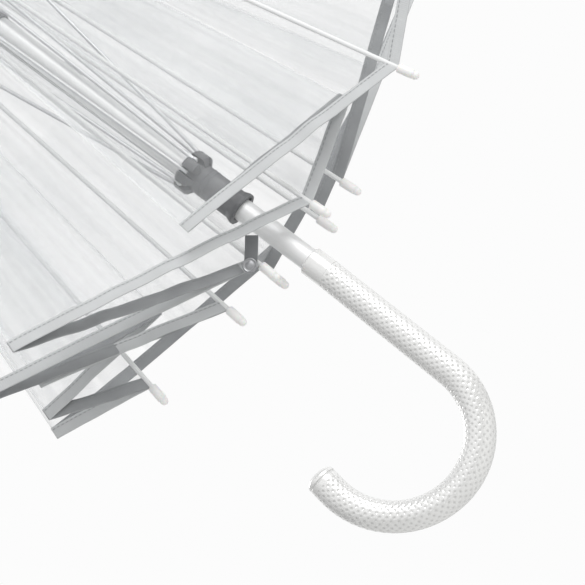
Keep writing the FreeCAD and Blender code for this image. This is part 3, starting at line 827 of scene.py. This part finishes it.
def tie_strap(centre, settings, material):
    """Webbing strap: a flat loop with rounded edges is carried from just below the snap button along a line
    that leans over the rib and bows gently away from it, and it starts in a rounded end."""
    count, sides = 60, 24
    past, rounding = 0.22, 0.2      # shares of the strap's length below the button
    rows = np.linspace(-past, 1, count)[:, None]
    turn = np.linspace(0, 2 * math.pi, sides, endpoint=False)[None, :]
    sine, cosine = math.sin(settings.lean), math.cos(settings.lean)
    along, across = np.array([sine, 0, cosine]), np.array([cosine, 0, -sine])
    end = np.clip((rows + past) / rounding, 0, 1)
    half = settings.width / 2 * np.sqrt(1 - (1 - end) ** 2 * 0.999)
    side = np.sign(np.cos(turn)) * np.abs(np.cos(turn)) ** 0.25
    face = np.sign(np.sin(turn)) * np.abs(np.sin(turn)) ** 0.6
    bow = settings.bow * np.sin(math.pi * np.clip(rows, 0, 1)) + settings.thickness * 0.55
    points = (centre + (rows * settings.length)[..., None] * along + (half * side)[..., None] * across
              + (bow + settings.thickness / 2 * face)[..., None] * np.array([0, 1, 0]))
    uv = np.stack(np.broadcast_arrays(rows * settings.length, half * side), -1).reshape(-1, 2)
    faces = grid_faces(count, sides, close_columns=True)
    return mesh_piece("strap_webbing", points.reshape(-1, 3), faces, material, uv=uv)


def snap_button(centre, settings, material):
    """Snap cap turned about its axis: a flat back, a rolled rim, a shallow ring and a low dome."""
    radius = settings.button / 2
    share = np.array([(0, 0), (0, 0.82), (0.35, 0.97), (0.6, 1.0), (0.85, 0.97), (0.98, 0.9), (0.96, 0.82),
                      (0.78, 0.74), (0.74, 0.64), (0.86, 0.52), (0.95, 0.36), (0.99, 0.18), (1.0, 0)])
    profile = share * (2 * MM, radius)
    return revolved("snap_cap", centre, (0, -1, 0), profile, material, sides=48)


class UMBRELLA_OT_stage(bpy.types.Operator):
    """Makes the floor, the soft lights, the world and the camera"""
    bl_idname = "umbrella.stage"
    bl_label = "Stage"

    def execute(self, context):
        settings = context.scene.umbrella_stage
        lay_floor(settings)
        set_world(context.scene)
        set_lights()
        set_camera(context.scene, settings)
        return {"FINISHED"}


def lay_floor(settings):
    """A flat square grid far below the object."""
    side = np.linspace(-9, 9, 5)
    x, y = np.meshgrid(side, side, indexing="ij")
    points = np.stack([x, y, 0 * x + settings.floor_drop], -1).reshape(-1, 3)
    mesh_piece("floor", points, grid_faces(5, 5), pale_backdrop(), smooth=False)


def set_world(scene):
    """A world that the camera sees as even white. Matt surfaces get a softer fill, and glossy ones mirror a
    room that is bright on one side and behind the umbrella and dim elsewhere."""
    world = bpy.data.worlds.new("studio")
    world.use_nodes = True
    tree = world.node_tree
    tree.nodes.clear()
    seen = add_node(tree, "ShaderNodeBackground", {"Color": linear("FCFCFC"), "Strength": 1.0}).outputs[0]
    fill = add_node(tree, "ShaderNodeBackground", {"Color": linear("FFFFFF"), "Strength": 0.66}).outputs[0]
    direction = add_node(tree, "ShaderNodeTexCoord").outputs["Generated"]
    side = add_node(tree, "ShaderNodeVectorMath", {0: direction, 1: (0.75, -0.45, 0.5)},
                    operation="DOT_PRODUCT").outputs["Value"]
    glow = add_node(tree, "ShaderNodeMapRange", {"Value": side, "From Min": -0.85, "From Max": 0.35,
                                                 "To Min": 0.3, "To Max": 1.0}).outputs["Result"]
    behind = add_node(tree, "ShaderNodeVectorMath", {0: direction, 1: (0.0, 0.966, 0.26)},
                      operation="DOT_PRODUCT").outputs["Value"]
    backdrop = add_node(tree, "ShaderNodeMapRange", {"Value": behind, "From Min": 0.3, "From Max": 0.75,
                                                     "To Max": 0.95}).outputs["Result"]
    glow = add_node(tree, "ShaderNodeMath", {0: glow, 1: backdrop}, operation="MAXIMUM").outputs[0]
    mirrored = add_node(tree, "ShaderNodeBackground", {"Color": linear("FFFFFF"),
                                                       "Strength": glow}).outputs[0]
    path = add_node(tree, "ShaderNodeLightPath").outputs
    light = add_node(tree, "ShaderNodeMixShader", {0: path["Is Glossy Ray"], 1: fill, 2: mirrored}).outputs[0]
    both = add_node(tree, "ShaderNodeMixShader", {0: path["Is Camera Ray"], 1: light, 2: seen}).outputs[0]
    add_node(tree, "ShaderNodeOutputWorld", {"Surface": both})
    scene.world = world
    scene.view_settings.view_transform = "Standard"
    scene.cycles.transparent_max_bounces = 48


def set_lights():
    """Two large soft panels: a key from the right of the shaft and a weaker one from the other side."""
    for name, place, size, power in (("key", (1.5, -1.3, 0.9), 1.6, 26), ("rim", (-1.2, 1.4, 1.6), 1.2, 10)):
        light = bpy.data.lights.new(name, "AREA")
        light.shape, light.size, light.energy = "SQUARE", size, power
        lamp = bpy.data.objects.new(name, light)
        lamp.location = place
        lamp.rotation_mode = "QUATERNION"
        lamp.rotation_quaternion = (-Vector(place)).to_track_quat("-Z", "Y")
        lamp.visible_camera = False
        bpy.context.scene.collection.objects.link(lamp)


def set_camera(scene, settings):
    """Camera below the horizon in front of the shaft, rolled so that the shaft leans across the picture."""
    back = Vector((0, -math.cos(settings.elevation), math.sin(settings.elevation)))
    up_shaft = Vector((0, math.sin(settings.elevation), math.cos(settings.elevation)))
    left = Vector((-1, 0, 0))
    cosine, sine = math.cos(settings.lean), math.sin(settings.lean)
    right = -sine * left - cosine * up_shaft
    up = -cosine * left + sine * up_shaft
    aim = 21.4 * MM * left - 3.5 * MM * up_shaft      # beside the handle collar
    data = bpy.data.cameras.new("camera")
    data.lens = settings.lens
    camera = bpy.data.objects.new("camera", data)
    place = Matrix((right, up, back)).transposed().to_4x4()
    place.translation = aim + settings.distance * back
    camera.matrix_world = place
    scene.collection.objects.link(camera)
    scene.camera = camera


class UMBRELLA_PT_panel(bpy.types.Panel):
    """Lists the umbrella's pieces"""
    bl_idname = "UMBRELLA_PT_panel"
    bl_label = "Umbrella"
    bl_space_type = "VIEW_3D"
    bl_region_type = "UI"
    bl_category = "Umbrella"

    def draw(self, context):
        for operator in OPERATORS:
            self.layout.operator(operator.bl_idname)
        for group in SETTINGS:
            box = self.layout.box()
            settings = getattr(context.scene, group)
            for name in SETTINGS[group].__annotations__:
                box.prop(settings, name)


SETTINGS = {"umbrella_canopy": CanopySettings, "umbrella_handle": HandleSettings,
            "umbrella_strap": StrapSettings, "umbrella_stage": StageSettings}
OPERATORS = (UMBRELLA_OT_stage, UMBRELLA_OT_canopy, UMBRELLA_OT_handle, UMBRELLA_OT_fittings,
             UMBRELLA_OT_strap)
CLASSES = (*SETTINGS.values(), *OPERATORS, UMBRELLA_PT_panel)


def register():
    for made in CLASSES:
        bpy.utils.register_class(made)
    for name, group in SETTINGS.items():
        setattr(bpy.types.Scene, name, PointerProperty(type=group))


def unregister():
    for name in SETTINGS:
        delattr(bpy.types.Scene, name)
    for made in reversed(CLASSES):
        bpy.utils.unregister_class(made)


def main():
    register()
    bpy.ops.umbrella.stage()
    bpy.ops.umbrella.canopy()
    bpy.ops.umbrella.handle()
    bpy.ops.umbrella.fittings()
    bpy.ops.umbrella.strap()


if __name__ == "__main__":
    main()
